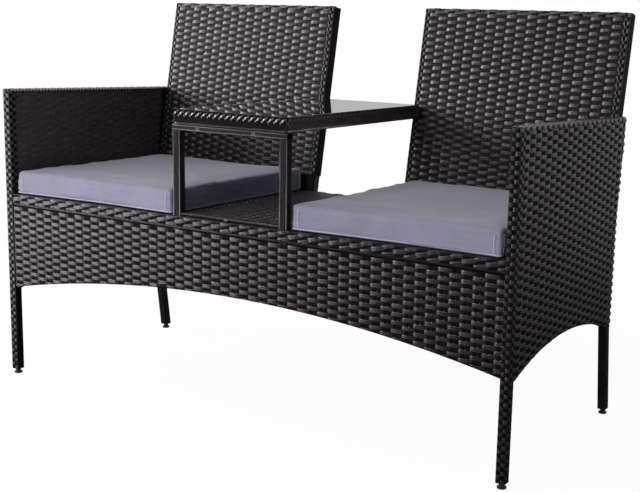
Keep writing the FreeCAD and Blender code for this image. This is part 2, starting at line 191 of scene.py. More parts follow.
def makeStrandMaterial(name):
    look = strandLooks[name]
    shop = Shop(name)
    grain = shop.node('ShaderNodeAttribute', {'attribute_name': 'grain'}, out=1)
    lanes = shop.noise(shop.stretched(grain, (0.02, 1.1, 7.0)), 1.0, 3.0)
    patches = shop.noise(shop.stretched(grain, (0.03, 0.05, 3.1)), 1.0, 2.0)
    streaks = shop.between(lanes, 0.32, 0.68, 0.0, 1.0)
    base = shop.ramp(streaks, [(0.0, look['dark']), (0.55, look['mid']), (1.0, look['pale'])])
    shade = shop.ramp(patches, [(0.3, (0.72, 0.72, 0.72)), (0.7, (1.25, 1.2, 1.15))])
    colour = shop.mixed(1.0, base, shade, 'MULTIPLY')
    rough = shop.between(patches + lanes * 0.4, 0.5, 1.0, look['roughLow'], look['roughHigh'])
    fine = shop.noise(shop.stretched(grain, (0.015, 2.6, 5.0)), 1.0, 1.0)
    across = shop.output(shop.node('ShaderNodeSeparateXYZ', {}, {0: grain}), 1)
    ribs = (across * 1.62).sum('COSINE') * -0.3     # two soft ribs on every strand
    normal = shop.bump(fine + ribs, look['groove'], 0.0005)
    return shop.finish({'Base Color': colour, 'Roughness': rough, 'Normal': normal,
                        'Coat Weight': look['coat'], 'Coat Roughness': 0.12,
                        'Specular IOR Level': look['specular'], 'Specular Tint': rgb(*sheenTint)})


# Satin powder coat over the metal tubes
coatLook = {'colour': (0.005, 0.005, 0.0054), 'dust': (0.012, 0.0115, 0.0115), 'rough': 0.30, 'edge': 0.0012,
            'specular': 0.28}


def makeCoatMaterial():
    look = coatLook
    shop = Shop('powderCoat')
    where = shop.node('ShaderNodeTexCoord', out=3)
    peel = shop.noise(where, 1400.0, 1.0)
    dust = shop.noise(where, 14.0, 4.0)
    colour = shop.mixed(shop.between(dust, 0.45, 0.8, 0.0, 0.6), rgb(*look['colour']), rgb(*look['dust']))
    rough = shop.between(dust, 0.3, 0.8, look['rough'], look['rough'] + 0.16)
    rounded = shop.node('ShaderNodeBevel', {'samples': 4}, {'Radius': look['edge']})
    normal = shop.bump(peel, 0.12, 0.0003, rounded)
    return shop.finish({'Base Color': colour, 'Roughness': rough, 'Normal': normal,
                        'Specular IOR Level': look['specular']})


def makeGlassMaterial():
    shop = Shop('blackGlass')
    where = shop.node('ShaderNodeTexCoord', out=3)
    smear = shop.noise(where, 9.0, 5.0)
    colour = shop.mixed(smear, rgb(0.0025, 0.0025, 0.003), rgb(0.006, 0.0055, 0.006))
    rough = shop.between(smear, 0.35, 0.75, 0.0, 0.012)
    return shop.finish({'Base Color': colour, 'Roughness': rough, 'IOR': 1.6,
                        'Coat Weight': 1.0, 'Coat Roughness': 0.0, 'Coat IOR': 1.5})


fabricLook = {'warp': (0.184, 0.177, 0.246), 'weft': (0.225, 0.216, 0.291), 'thread': 0.00055, 'rough': 0.86}


def makeFabricMaterial(name, lighten=1.0):
    look = fabricLook
    shop = Shop(name)
    where = shop.node('ShaderNodeTexCoord', out=3)
    turns = 2.0 * math.pi / look['thread']
    parts = shop.node('ShaderNodeSeparateXYZ', {}, {0: where})
    waves = [(shop.output(parts, axis) * turns).sum('SINE') for axis in range(3)]
    weave = waves[0] * waves[1] + waves[2] * 0.5
    cloud = shop.noise(where, 22.0, 4.0)
    slub = shop.noise(shop.stretched(where, (60.0, 900.0, 900.0)), 1.0, 2.0)
    mix = shop.between(cloud + slub * 0.7, 0.55, 1.1, 0.0, 1.0)
    first = tuple(value * lighten for value in look['warp'])
    second = tuple(value * lighten for value in look['weft'])
    colour = shop.mixed(mix, rgb(*first), rgb(*second))
    normal = shop.bump(weave + slub, 0.25, 0.0002)
    rough = shop.between(cloud, 0.3, 0.7, look['rough'] - 0.05, look['rough'] + 0.06)
    return shop.finish({'Base Color': colour, 'Roughness': rough, 'Normal': normal,
                        'Sheen Weight': 0.25, 'Sheen Roughness': 0.5, 'Specular IOR Level': 0.25})


def makeSimpleMaterial(name, first, second, rough, metallic=0.0, scale=60.0, bumpSize=0.0002):
    shop = Shop(name)
    where = shop.node('ShaderNodeTexCoord', out=3)
    cloud = shop.noise(where, scale, 4.0)
    colour = shop.mixed(cloud, rgb(*first), rgb(*second))
    roughness = shop.between(cloud, 0.3, 0.7, rough - 0.06, rough + 0.08)
    normal = shop.bump(shop.noise(where, scale * 12.0), 0.2, bumpSize)
    return shop.finish({'Base Color': colour, 'Roughness': roughness, 'Metallic': metallic, 'Normal': normal})


strandMaterials = [makeStrandMaterial(name) for name in strandLooks]
coatMaterial = makeCoatMaterial()
glassMaterial = makeGlassMaterial()
fabricMaterial = makeFabricMaterial('cushionFabric')
# a paler copy of the cushion fabric for the piping: painted highlight
weltHighlightMaterial = makeFabricMaterial('cushionWelt', 1.65)
threadMaterial = makeFabricMaterial('cushionThread', 2.8)
nylonMaterial = makeSimpleMaterial('footNylon', (0.012, 0.012, 0.012), (0.03, 0.03, 0.03), 0.5)
zincMaterial = makeSimpleMaterial('zincPlate', (0.50, 0.50, 0.52), (0.38, 0.38, 0.40), 0.32, 1.0, 90.0)
padMaterial = makeSimpleMaterial('softPad', (0.02, 0.02, 0.02), (0.045, 0.045, 0.045), 0.75)
print('materials ready')


# The section of a flat strand: shares of its width and thickness, crowned on the outer face
section = np.array([(-0.5, -0.5), (0.5, -0.5), (0.5, 0.2), (0.0, 0.5), (-0.5, 0.2)])
chance = np.random.default_rng(7)


def stack(x, y, z):
    return np.stack(np.broadcast_arrays(x, y, z), axis=-1)


def placed(name, data):
    made = bpy.data.objects.new(name, data)
    bpy.context.scene.collection.objects.link(made)
    return made


def addPiece(made, nodes, body=bench):
    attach(made, body)
    if nodes:
        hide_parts(*nodes)


# Strands laid on a surface; place(u, v, h) gives points of it
class Weaving:
    def __init__(self, place, outline=None, mark=strandMark):
        self.place = place
        self.outline = outline      # lowest and highest v at a given u
        self.mark = mark            # the finish of strands that are laid without one
        self.spot = None            # a (u, v) on the surface
        self.marks, self.endMarks = [], []
        self.points, self.grain = [], []
        self.quads, self.caps = [], []
        self.count = 0

    def lay(self, u, v, h, width, thick, wide='v', closed=False, mark=None):
        mark = self.mark if mark is None else mark
        u, v, h = np.broadcast_arrays(*(np.atleast_1d(np.asarray(x, float)) for x in (u, v, h)))
        side = section[:, 0] * width
        lift = section[:, 1] * thick
        if wide == 'v':
            across, up = u[:, None] + 0.0 * side, v[:, None] + side
        else:
            across, up = u[:, None] + side, v[:, None] + 0.0 * side
        if self.outline:
            up = np.clip(up, self.outline[0](across), self.outline[1](across))
        spots = self.place(across, up, h[:, None] + lift)
        steps, size = len(u), len(section)
        if self.spot is None:
            self.spot = float(u[steps // 2]), float(v[steps // 2])
        middle = self.place(u, v, h)
        run = np.concatenate([[0.0], np.cumsum(np.linalg.norm(np.diff(middle, axis=0), axis=1))])
        run = run + chance.uniform(0.0, 500.0)
        tone = chance.uniform(0.0, 40.0)
        grain = [np.repeat(run, size), np.tile(side, steps), np.full(steps * size, tone)]
        self.grain.append(np.stack(grain, axis=1))
        self.points.append(spots.reshape(-1, 3))
        turns = steps if closed else steps - 1
        i = np.arange(turns)[:, None] * size
        j = np.arange(size)[None, :]
        after = (np.arange(turns)[:, None] + 1) % steps * size
        quads = np.stack([i + j, i + (j + 1) % size, after + (j + 1) % size, after + j], axis=2)
        self.quads.append(quads.reshape(-1, 4) + self.count)
        self.marks.append(np.full(turns * size, mark))
        if not closed:
            self.endMarks += [mark] * 2
            self.caps.append(np.arange(size)[::-1] + self.count)
            self.caps.append(np.arange(size) + (steps - 1) * size + self.count)
        self.count += steps * size

    # Whether u, v and h turn the right way round for faces that look out
    def facesOut(self):
        u, v = self.spot
        step = 0.5
        here = self.place(u, v, 0.0)
        alongU = self.place(u + step, v, 0.0) - here
        alongV = self.place(u, v + step, 0.0) - here
        outward = self.place(u, v, step) - here
        return float(np.dot(np.cross(alongU, alongV), outward)) > 0.0


# Turns laid strands into one piece that stands for a CAD node
def addWeaving(name, node, *weavings):
    points = np.concatenate([p for w in weavings for p in w.points]) * 0.001
    grain = np.concatenate([g for w in weavings for g in w.grain])
    quads, caps, start = [], [np.zeros((0, len(section)), int)], 0
    for weaving in weavings:
        order = 1 if weaving.facesOut() else -1
        quads.append((np.concatenate(weaving.quads) + start)[:, ::order])
        if weaving.caps:
            caps.append((np.stack(weaving.caps) + start)[:, ::order])
        start += weaving.count
    quads, caps = np.concatenate(quads), np.concatenate(caps)
    mesh = bpy.data.meshes.new(name)
    mesh.vertices.add(len(points))
    mesh.vertices.foreach_set('co', points.astype(np.float32).ravel())
    mesh.loops.add(quads.size + caps.size)
    corners = np.concatenate([quads.ravel(), caps.ravel()])
    mesh.loops.foreach_set('vertex_index', corners.astype(np.int32))
    mesh.polygons.add(len(quads) + len(caps))
    starts = np.concatenate([np.arange(len(quads)) * 4, quads.size + np.arange(len(caps)) * len(section)])
    mesh.polygons.foreach_set('loop_start', starts.astype(np.int32))
    marks = np.concatenate([m for w in weavings for m in w.marks] + [w.endMarks for w in weavings])
    mesh.polygons.foreach_set('material_index', marks.astype(np.int32))
    mesh.update(calc_edges=True)
    mesh.validate()
    mesh.polygons.foreach_set('use_smooth', np.ones(len(mesh.polygons), bool))
    mesh.set_sharp_from_angle(angle=math.radians(38.0))
    layer = mesh.attributes.new('grain', 'FLOAT_VECTOR', 'POINT')
    layer.data.foreach_set('vector', grain.astype(np.float32).ravel())
    for material in strandMaterials:
        mesh.materials.append(material)
    addPiece(placed(name, mesh), [node])


# Widths, heights and thicknesses in mm, apart from weftWidth and rowReach, which are shares of a row.
# Wefts run along u, stakes along v. filler and gapStrip are the widths of flat strips behind the gaps. Stakes
# and gap strips take the darker stake finish by default: painted shade.
weaveLook = {'columnPitch': 24.0, 'rowPitch': 7.9, 'weftWidth': 1.0, 'weftThick': 1.4, 'weftRise': 1.4,
             'weftBase': 0.0, 'slant': 0.0, 'facet': (0.13, 0.18), 'stakes': (-1.0, 1.0), 'stakeWidth': 8.6,
             'stakeThick': 1.1, 'stakeGap': 1.0, 'stakeWave': 0.2, 'stakeDepth': 0.35, 'shortest': 6.0,
             'filler': 0.0, 'gapStrip': 0.0, 'fillerAt': -2.0, 'fillerThick': 0.9, 'fillerInset': 3.0,
             'rowReach': 0.42, 'weftMark': strandMark, 'stakeMark': stakeMark}


def wave(turn, flatness=1.7):
    return np.sin(0.5 * math.pi * np.clip(flatness * np.cos(turn), -1.0, 1.0))


# Up and down in straight facets that bend at two shares of a pitch from each crossing
def bent(turn, facet):
    way = turn / math.pi + 0.5
    off = np.abs(way - np.round(way))
    return np.sign(np.cos(turn)) * np.interp(off, (0.0, *facet, 0.5), (0.0, 0.8, 0.97, 1.04))


# The stretches of a row that lie inside an outline
def stretches(first, last, inside):
    u = np.linspace(first, last, max(int((last - first) / 0.5), 8))
    kept = inside(u)
    edges = np.flatnonzero(np.diff(np.concatenate([[0], kept.astype(int), [0]])))
    return [(u[a], u[b - 1]) for a, b in zip(edges[::2], edges[1::2]) if u[b - 1] - u[a] > 4.0]


def level(height):
    return lambda u: np.full_like(np.asarray(u, float), height)


# What weave() needs for a patch from first to last and from bottom to top. more can change its outline.
def patch(first, last, bottom, top, look, **more):
    return {'first': first, 'last': last, 'bottom': bottom, 'top': top, 'offset': first,
            'low': level(bottom), 'high': level(top), 'look': look, **more}


# Plain weave: rows over and under pairs of stakes
def weave(place, plan):
    look = dict(weaveLook, **plan['look'])
    first, last, low, high = (plan[key] for key in ('first', 'last', 'low', 'high'))
    bottom, top, offset = (plan[key] for key in ('bottom', 'top', 'offset'))
    work = Weaving(place, (low, high))
    pitch = look['columnPitch']
    rows = int(round((top - bottom) / look['rowPitch']))
    rowPitch = (top - bottom) / rows
    columns = np.arange(math.floor((first - offset) / pitch) - 1, math.ceil((last - offset) / pitch) + 1)
    near, far = look['facet']
    bends = np.array([0.0, near, far, 0.5, 1.0 - far, 1.0 - near])
    grid = (columns[:, None] + bends[None, :]).ravel() * pitch + offset
    reach = look['rowReach'] * rowPitch
    for row in range(rows):
        v = bottom + (row + 0.5) * rowPitch
        end = plan['right'](v) if 'right' in plan else last
        for a, b in stretches(first, end, lambda u: (low(u) <= v + reach) & (high(u) >= v - reach)):
            u = np.concatenate([[a], grid[(grid > a + 0.8) & (grid < b - 0.8)], [b]])
            turn = math.pi * ((u - offset) / pitch - 0.5) + math.pi * row
            rise = look['weftBase'] + look['weftRise'] * bent(turn, look['facet'])
            work.lay(u, v + look['slant'] * np.sin(turn), rise, look['weftWidth'] * rowPitch,
                     look['weftThick'], mark=look['weftMark'])
    shift = 0.5 * (look['stakeWidth'] + look['stakeGap'])
    limit = plan.get('straight', last)

    def ends(u):
        return max(float(low(np.array([u]))[0]), bottom), min(float(high(np.array([u]))[0]), top)

    inset = look['fillerInset']
    # The gap strips behind the stakes are in the darker stake finish: painted shade
    backing = ((0.0, look['filler'], strandMark), (0.5, look['gapStrip'], stakeMark))
    for column in columns:                      # keeps light out of the gaps between the stakes
        for share, wide, mark in backing:
            u = offset + (column + share) * pitch
            if wide and first + inset < u < limit - inset:
                work.lay(u, np.linspace(*ends(u), 9), look['fillerAt'], wide, look['fillerThick'],
                         wide='u', mark=mark)
    for column in columns:
        for hand in look['stakes']:
            u = offset + (column + 0.5) * pitch + hand * shift
            if u - 0.5 * look['stakeWidth'] < first - 0.5 or u + 0.5 * look['stakeWidth'] > limit + 0.5:
                continue
            a, b = ends(u)
            if 'enter' in plan:
                a = max(a, plan['enter'](u))
            if b - a < look['shortest']:
                continue
            v = np.arange(bottom, top + 0.1, 0.5 * rowPitch)
            v = np.concatenate([[a], v[(v > a + 1.0) & (v < b - 1.0)], [b]])
            turn = math.pi * column + math.pi * ((v - bottom) / rowPitch - 0.5)
            work.lay(u, v, -look['stakeDepth'] - look['stakeWave'] * np.cos(turn), look['stakeWidth'],
                     look['stakeThick'], wide='u', mark=look['stakeMark'])
    return work


# A thin strand along the lower edge of a woven panel, in the darker stake finish: painted shade
def edgeStrand(place, first, last, low):
    work = Weaving(place, mark=stakeMark)
    u = np.linspace(first, last, 121)
    work.lay(u, low(u) + 0.9, 0.2, 2.6, 3.2)
    return work


def archLow(first, last, ends, peak):
    half = 0.5 * (last - first)
    rise = peak - ends
    radius = (half * half + rise * rise) / (2.0 * rise)
    middle = 0.5 * (first + last)

    def low(u):
        reach = np.clip(u - middle, -half, half)
        return peak - radius + np.sqrt(radius * radius - reach * reach)

    return low


# Side frames: outer skins, inner skins of the arms, arm tops and wrapped front legs
armLook = {'front': 646.0, 'drop': 12.0 / 502.0, 'archEnds': 198.0, 'archPeak': 240.0, 'postBack': 19.6,
           'legFront': 482.0, 'legBack': 502.0, 'leanStart': 430.0, 'lean': 0.105, 'corner': 3.0,
           'around': 15.0, 'topBorder': 8.0, 'past': 22.0}
skinLook = {'columnPitch': 24.4, 'stakeDepth': 0.1, 'filler': 10.5, 'gapStrip': 7.0}
liningLook = {'columnPitch': 24.4, 'weftRise': 0.8, 'weftThick': 1.0, 'weftMark': paintedLightMark,
              'stakeMark': paintedLightMark}


def armTop(u):
    return armLook['front'] - armLook['drop'] * np.asarray(u, float)


def leaning(edge):
    return lambda v: edge + armLook['lean'] * np.maximum(0.0, v - armLook['leanStart'])


# The outer face of a side, turning the corner on to the rear of the back leg
def sidePlace(x, sign):
    rearEdge = leaning(armLook['legBack'])
    radius = armLook['corner']

    def place(u, v, h):
        corner = rearEdge(v) - radius
        past = u - corner
        turn = np.clip(past / radius, 0.0, 0.5 * math.pi)
        beyond = np.maximum(past - 0.5 * math.pi * radius, 0.0)
        out, back = np.cos(turn), np.sin(turn)
        px = x + sign * (radius * (out - 1.0) - beyond + out * h)
        return stack(px, frontY + corner + radius * back + np.minimum(past, 0.0) + back * h, v)

    return place


# A patch under the sloping arm that ends at an edge of the leaning rear leg
def armPatch(first, last, bottom, edge, look, wrap=0.0, **more):
    arm = armLook
    return patch(first, last, bottom, arm['front'] - arm['topBorder'], look, offset=arm['postBack'] - 5.0,
                 high=lambda u: armTop(u) - arm['topBorder'], right=leaning(edge + wrap),
                 straight=edge + arm['past'],
                 enter=lambda u: arm['leanStart'] + (u + 4.3 - edge) / arm['lean'], **more)


def makeSideSkins():
    look = armLook
    arch = archLow(look['postBack'], look['legFront'], look['archEnds'], look['archPeak'])
    wrap = (0.5 * math.pi - 1.0) * look['corner'] + look['around']
    for side, sign in sides.items():
        outer = boxMm(side + '_side_weave')
        place = sidePlace(outer[1][0] - 1.2 if sign > 0 else outer[0][0] + 1.2, sign)
        plan = armPatch(look['postBack'] - 2.5, look['legBack'] + 45.0, look['archEnds'], look['legBack'],
                        skinLook, wrap, low=arch)
        addWeaving(side + 'SideSkin', side + '_side_weave', weave(place, plan),
                   edgeStrand(place, look['postBack'], look['legBack'] - 4.0, arch))

        low, high = boxMm(side + '_arm_inner_weave')
        face = 0.5 * (low[0] + high[0]) + sign * 0.8

        def inside(u, v, h, face=face, sign=sign):
            return stack(face - sign * h, frontY + u, v)

        edge = look['legFront']
        plan = armPatch(look['postBack'], edge + look['past'], low[2], edge, liningLook)
        addWeaving(side + 'ArmLining', side + '_arm_inner_weave', weave(inside, plan))


makeSideSkins()
print('side skins ready')


# Distance round a rounded bar of half sizes a and b, from the middle of its front face
def barOutline(a, b, radius):
    corners = [(a - radius, -b + radius, -90.0), (a - radius, b - radius, 0.0),
               (-a + radius, b - radius, 90.0), (-a + radius, -b + radius, 180.0)]
    spots = [(0.0, -b, 0.0, -1.0)]
    for x, y, turn in corners:
        for bit in range(5):
            angle = math.radians(turn + 22.5 * bit)
            out, up = math.cos(angle), math.sin(angle)
            spots.append((x + radius * out, y + radius * up, out, up))
    spots.append(spots[0])
    spots = np.array(spots)
    run = np.concatenate([[0.0], np.cumsum(np.linalg.norm(np.diff(spots[:, :2], axis=0), axis=1))])

    def outline(s):
        s = np.mod(s, run[-1])
        return [np.interp(s, run, spots[:, k]) for k in range(4)]

    return outline, run[-1]


# Front legs: rings of strand over and under eight stakes, the stakes in the darker stake finish as painted
# shade. The last entry gives, per side, the ring's points that face the seat; these are painted to a shaded
# tone: the painted-light finish above the seat and the darker stake finish below it.
legLook = {'middle': 9.8, 'half': 9.0, 'corner': 2.6, 'rowPitch': 7.9, 'rise': 0.9, 'lift': -0.15,
           'ringWidth': 0.94, 'ringThick': 1.0, 'ringPoints': 32, 'stakes': 8, 'stakeWidth': 8.2,
           'stakeThick': 0.8, 'seat': 416.0, 'dull': {'left': slice(3, 12), 'right': slice(19, 28)}}


def makeLegWraps():
    look = legLook
    weavings = []
    low, high = boxMm('front_leg_wraps')
    outline, around = barOutline(look['half'], look['half'], look['corner'])
    count = look['ringPoints']
    for side, sign in sides.items():
        x0 = sign * (high[0] - look['middle'])
        y0 = low[1] + look['middle']

        def place(u, v, h, x0=x0, y0=y0):
            x, y, nx, ny = outline(u)
            return stack(x0 + x + nx * h, y0 + y + ny * h, v)

        work = Weaving(place)
        top = high[2] - 1.0
        rows = int(round((top - low[2]) / look['rowPitch']))
        pitch = (top - low[2]) / rows
        s = (np.arange(count) + 0.5) * around / count
        for row in range(rows):
            turn = look['stakes'] * math.pi * s / around + math.pi * row - 0.5 * math.pi
            v = low[2] + (row + 0.5) * pitch
            work.lay(s, v, look['lift'] + look['rise'] * wave(turn), look['ringWidth'] * pitch,
                     look['ringThick'], closed=True)
            ring = work.marks[-1].reshape(count, -1)
            ring[look['dull'][side]] = paintedLightMark if v > look['seat'] else stakeMark
        for stake in range(look['stakes']):
            work.lay((stake + 0.5) * around / look['stakes'], np.linspace(low[2], top, rows + 1), 0.35,
                     look['stakeWidth'], look['stakeThick'], wide='u', mark=stakeMark)
        weavings.append(work)
    addWeaving('frontLegWraps', 'front_leg_wraps', *weavings)


makeLegWraps()
print('leg wraps ready')


# A border of lengthwise strands that slant and dip in turn; used on rails, arms and back tops
borderLook = {'rowPitch': 8.2, 'columnPitch': 23.3, 'slant': 1.7, 'weftRise': 1.3, 'stakeDepth': 0.3,
              'weftWidth': 1.1, 'facet': (0.20, 0.30)}


def border(place, first, last, width, look, offset=0.0):
    return weave(place, patch(first, last, 0.0, width, dict(borderLook, **look), offset=offset))


# Runs over a corner: v is the distance along a bent line of (y, z) points, rounded at its bends
def bentLine(points, radius):
    points = [np.array(p, float) for p in points]
    spots = []
    for index, p in enumerate(points):
        if index in (0, len(points) - 1):
            spots.append(p)
            continue
        back = points[index - 1] - p
        ahead = points[index + 1] - p
        a = p + back / np.linalg.norm(back) * radius
        b = p + ahead / np.linalg.norm(ahead) * radius
        for t in np.linspace(0.0, 1.0, 5):
            spots.append((1 - t) ** 2 * a + 2 * t * (1 - t) * p + t ** 2 * b)
    spots = np.array(spots)
    steps = np.diff(spots, axis=0)
    run = np.concatenate([[0.0], np.cumsum(np.linalg.norm(steps, axis=1))])
    lean = np.vstack([steps[:1], 0.5 * (steps[1:] + steps[:-1]), steps[-1:]])
    lean = lean / np.linalg.norm(lean, axis=1, keepdims=True)

    def line(v):
        v = np.asarray(v, float)
        inner = np.clip(v, 0.0, run[-1])
        over = v - inner
        a, b, da, db = (np.interp(inner, run, column) for column in (*spots.T, *lean.T))
        return a + da * over, b + db * over, da, db

    return line, run[-1]


railLook = {'lower': 2.6, 'under': 8.0, 'corner': 4.5, 'most': 1.1, 'liner': 2.6, 'linerThick': 0.5,
            'weave': {'weftBase': 0.3, 'stakeDepth': -0.35, 'weftRise': 1.2, 'rowPitch': 7.0}}


def makeRailBand():
    look = railLook
    low, high = boxMm('front_rail_wrap')
    solid = boxMm('seat_front_rail')
    face, top, foot = solid[0][1], solid[1][2], low[2] + look['lower']
    bends = [(face + look['under'], foot), (face, foot), (face, top), (high[1] - 1.0, top)]
    line, length = bentLine(bends, look['corner'])

    def place(u, v, h):
        y, z, dy, dz = line(v)
        return stack(u, y - dz * h, z + np.minimum(dy * h, look['most']))

    band = border(place, low[0], high[0], length, look['weave'], low[0])
    # A liner in the darker stake finish fills the gaps under the band: painted shade
    liner = Weaving(place, mark=stakeMark)
    strips = int(round(length / look['liner']))
    for strip in range(strips):
        liner.lay(np.linspace(low[0], high[0], 12), (strip + 0.5) * length / strips, 0.1,
                  length / strips * 1.1, look['linerThick'])
    addWeaving('seatRailBand', 'front_rail_wrap', band, liner)


# edge is the gap under the rail's band, where a strip in the darker stake finish lies behind the weave:
# painted shade in the groove
apronLook = {'archEnds': 204.0, 'archPeak': 266.0, 'out': 0.6, 'edge': 2.6, 'grooveAt': 0.2,
             'grooveDepth': 3.0, 'grooveWidth': 10.0, 'weave': {'columnPitch': 23.3}}


def makeApron():
    look = apronLook
    low, high = boxMm('apron_weave')
    arch = archLow(low[0], high[0], look['archEnds'], look['archPeak'])
    face = 0.5 * (low[1] + high[1]) + look['out']

    def place(u, v, h):
        return stack(u, face - h, v)

    plan = patch(low[0], high[0], low[2], high[2] - look['edge'], look['weave'], low=arch)
    skin = weave(place, plan)
    hem = edgeStrand(place, low[0] + 1.0, high[0] - 1.0, arch)
    groove = Weaving(place, mark=stakeMark)
    groove.lay(np.array([low[0], high[0]]), high[2] - look['grooveAt'], -look['grooveDepth'],
               look['grooveWidth'], 1.0)
    addWeaving('apronSkin', 'apron_weave', skin, hem, groove)


makeRailBand()
makeApron()
print('apron and rail band ready')

# outer and inner are insets from the box of the bindings; crest and the feet are heights over the arm's line
armTopLook = {'outer': 1.2, 'inner': 18.6, 'crest': -1.5, 'outerFoot': -9.0, 'innerFoot': -8.0, 'corner': 3.5,
              'ropeStart': 6.0, 'ropePitch': 9.5, 'ropeAt': 5.5, 'ropeSlant': 2.2, 'ropeRise': 1.2,
              'ropeWidth': 5.4, 'ropeThick': 3.6,
              'weave': {'columnPitch': 12.0, 'weftRise': 1.3, 'slant': 2.6, 'weftThick': 2.2,
                        'stakes': (0.0,), 'stakeWidth': 8.0}}


def makeArmTops():
    look = armTopLook
    low, high = boxMm('arm_top_bindings')
    weavings = []
    for sign in sides.values():
        outer = sign * (high[0] - look['outer'])
        inner = sign * (high[0] - look['inner'])
        bends = [(outer, look['outerFoot']), (outer, look['crest']), (inner, look['crest']),
                 (inner, look['innerFoot'])]
        line, length = bentLine(bends, look['corner'])

        def place(u, v, h, line=line, sign=sign):
            x, z, dx, dz = line(v)
            return stack(x + sign * dz * h, frontY + u, armTop(u) + z - sign * dx * h)

        end = high[1] - frontY
        weavings.append(border(place, 0.0, end, length, look['weave']))
        # slanted stitches, like a rope, along the edge towards the seat, in the paler bead finish: painted
        # highlight
        rope = Weaving(place, mark=paintedHighlightMark)
        reach = np.linspace(-0.5, 0.5, 7)
        start, pitch = look['ropeStart'], look['ropePitch']
        for number in range(int((end - start) / pitch)):
            rope.lay(start + (number + 0.5) * pitch + reach * pitch * 1.3,
                     length - look['ropeAt'] - look['ropeSlant'] * np.sin(math.pi * reach),
                     0.4 + look['ropeRise'] * np.cos(math.pi * reach), look['ropeWidth'], look['ropeThick'])
        weavings.append(rope)
    addWeaving('armTopBands', 'arm_top_bindings', *weavings)


makeArmTops()

# Backrests: a leaned frame, so u runs across, v up the slope and h out of the front face
backLook = {'foot': 28.0, 'lean': 10.8, 'footY': 472.6, 'footZ': 380.0, 'low': 73.3, 'high': 471.35,
            'inner': 122.4, 'outer': 600.2, 'thick': 29.0, 'border': 12.0, 'topBand': 10.0, 'post': 24.0,
            'columns': 19, 'strip': 7.9, 'footStrip': 10.0}
# The backs' stakes take the darker painted-shade finish
backWeave = {'weftWidth': 0.95, 'weftRise': 1.9, 'stakeDepth': 0.1, 'facet': (0.17, 0.22), 'filler': 10.5,
             'gapStrip': 7.0, 'fillerAt': -2.6, 'stakeMark': paintedShadeMark}
backEdge = {'columnPitch': 6.0, 'stakeWidth': 5.2, 'stakes': (0.0,), 'stakeGap': 0.0, 'weftRise': 1.0}
backTop = {'rowPitch': 5.0, 'columnPitch': 25.0, 'weftRise': 0.6, 'slant': 1.0}
backRoof = {'rowPitch': 9.6, 'weftRise': 0.7, 'weftThick': 1.0}


def backPlace(depth=0.0):
    turn = math.radians(backLook['lean'])
    sine, cosine = math.sin(turn), math.cos(turn)

    def place(u, v, h):
        out = h - depth
        y = frontY + backLook['footY'] + sine * v - cosine * out
        return stack(u, y, backLook['footZ'] + cosine * v + sine * out)

    return place


def backSpan(sign):
    return sorted((sign * backLook['inner'], sign * backLook['outer']))


def makeBacks():
    look = backLook
    front = backPlace(0.9)
    low, high = look['low'], look['high']
    topLow = high - look['topBand']

    def topPlace(u, v, h):
        return front(u, topLow + v, h)

    for side, sign in sides.items():
        a, b = backSpan(sign)
        first, last = a + look['border'], b - look['border']
        pitch = (last - first) / look['columns']
        works = [weave(front, patch(first, last, low, topLow, dict(backWeave, columnPitch=pitch)))]
        for start in (a, last):
            works.append(weave(front, patch(start, start + look['border'], low, high - 2.0, backEdge)))
        works.append(border(topPlace, first, last, look['topBand'], backTop))
        # Strips in the darker stake finish close the gap under the weave, a dark sheet standing for shade:
        # painted shade
        foot = Weaving(front, mark=stakeMark)
        strips = int(round((b - a) / look['footStrip']))
        for strip in range(strips):
            foot.lay(a + (strip + 0.5) * (b - a) / strips, np.array([look['foot'], low + 3.0]), -3.0,
                     (b - a) / strips * 1.04, 1.2, wide='u')
        addWeaving(side + 'BackSkin', side + '_back_weave', *works, foot)


makeBacks()


# Strips laid side by side round the outside, top and rear of each back frame.
# The lifts run along a strip, and the widths are shares of its pitch.
bindingLook = {'edgeSteps': (1.0, 4.0, 15.0), 'edgeLift': (-0.9, -0.3, -0.3, -0.6), 'edgeWidth': 1.02,
               'edgeThick': 1.3, 'rearLift': (-0.6, 0.3, 0.3, -0.6), 'rearWidth': 0.97, 'rearThick': 1.0}


def makeBackBindings():
    look = dict(backLook, **bindingLook)
    works = []
    height, post = look['high'] - look['low'], look['post']
    rows = int(round(height / look['strip']))
    pitch = height / rows
    rise, wideShare, thick = (look[key] for key in ('rearLift', 'rearWidth', 'rearThick'))
    face, rearFace = backPlace(0.0), backPlace(look['thick'] - 0.4)

    def topFace(u, v, h):
        return face(u, look['high'] + h, -v)

    def rear(u, v, h):
        return rearFace(u, look['low'] + v, -h)

    for sign in sides.values():
        for x, outward in ((look['inner'], -1.0), (look['outer'], 1.0)):
            def edgeFace(u, v, h, x=x, outward=outward, sign=sign):
                return face(sign * (x + outward * h), look['low'] + v, -u)

            # The outer and inner faces of the frames take the darker stake finish: painted shade
            work = Weaving(edgeFace, mark=stakeMark)
            for row in range(rows):
                work.lay((*look['edgeSteps'], look['thick']), (row + 0.5) * height / rows,
                         look['edgeLift'], pitch * look['edgeWidth'], look['edgeThick'])
            works.append(work)
        a, b = backSpan(sign)
        works.append(border(topFace, a, b, look['thick'], backRoof))
        work = Weaving(rear)
        for row in range(rows):
            for start, end in ((a, a + post), (b - post, b)):
                work.lay(np.linspace(start, end, 4), (row + 0.5) * pitch, rise, pitch * wideShare, thick)
        columns = int(round((b - a - 2 * post) / look['strip']))
        wide = (b - a - 2 * post) / columns
        for column in range(columns):
            u = a + post + (column + 0.5) * wide
            for start, end in ((0.0, post), (height - post, height)):
                work.lay(u, np.linspace(start, end, 4), rise, wide * wideShare, thick, wide='u')
        works.append(work)
    addWeaving('backFrameBindings', 'back_bindings', *works)


makeBackBindings()
print('backs ready')

